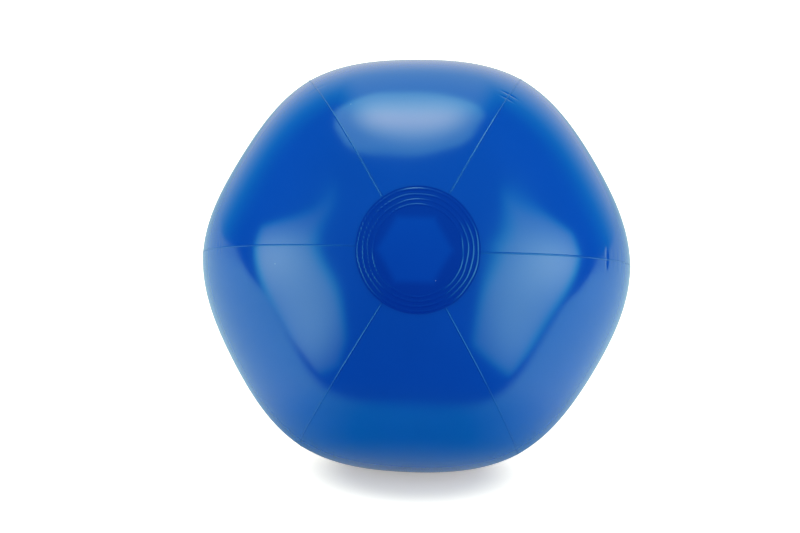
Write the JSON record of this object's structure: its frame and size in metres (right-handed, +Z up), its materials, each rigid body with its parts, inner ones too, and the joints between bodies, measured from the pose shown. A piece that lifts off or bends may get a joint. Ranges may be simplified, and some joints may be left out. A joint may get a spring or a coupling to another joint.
{
  "type": "beach ball",
  "caption": "Inflatable beach ball of welded plain blue vinyl panels with round end caps and ring welds, and a push-in air valve with a tethered stopper.",
  "frame": {"origin": "on the floor, under the middle of the ball, at the middle of the flattened patch that it rests on", "axes": "+Z up; the front end cap faces -Y, tipped up 20 degrees; +X to the right seen from the front, across the two side seams"},
  "size_m": [0.286, 0.2754, 0.2735],
  "materials": {
    "panel_film": "glossy opaque blue vinyl film",
    "seam_weld": "welded vinyl bead, glossy",
    "cap_film": "glossy blue vinyl disc with ring welds",
    "valve_vinyl": "soft milky clear vinyl moulding"
  },
  "bodies": {
    "ball": {"panel_top": "panel_film", "panel_upper_left": "panel_film", "panel_lower_left": "panel_film", "panel_bottom": "panel_film", "panel_lower_right": "panel_film", "panel_upper_right": "panel_film", "seam_right": "seam_weld", "seam_upper_right": "seam_weld", "seam_upper_left": "seam_weld", "seam_left": "seam_weld", "seam_lower_left": "seam_weld", "seam_lower_right": "seam_weld", "front_cap": "cap_film", "rear_cap": "cap_film", "valve_flange": "valve_vinyl", "valve_diaphragm": "valve_vinyl"},
    "stem": {"valve_stem": "valve_vinyl"},
    "plug": {"valve_plug": "valve_vinyl", "plug_strap": "valve_vinyl"},
    "flap": {"check_flap": "valve_vinyl"}
  },
  "joints": [
    {"name": "valve_lift", "type": "slide", "parent": "ball", "child": "stem", "axis": [0, 0.848, 0.5299], "range_m": [0, 0.012], "deforming": ["valve_diaphragm"]},
    {"name": "plug_pull", "type": "slide", "parent": "stem", "child": "plug", "axis": [0, 0.848, 0.5299], "range_m": [0, 0.012], "deforming": ["plug_strap"]},
    {"name": "flap_swing", "type": "hinge", "parent": "stem", "child": "flap", "pos_m": [0, 0.10024, 0.20383], "axis": [-1, 0, 0], "range_deg": [0, 70], "stiffness_Nm_per_rad": 0.0002}
  ]
}
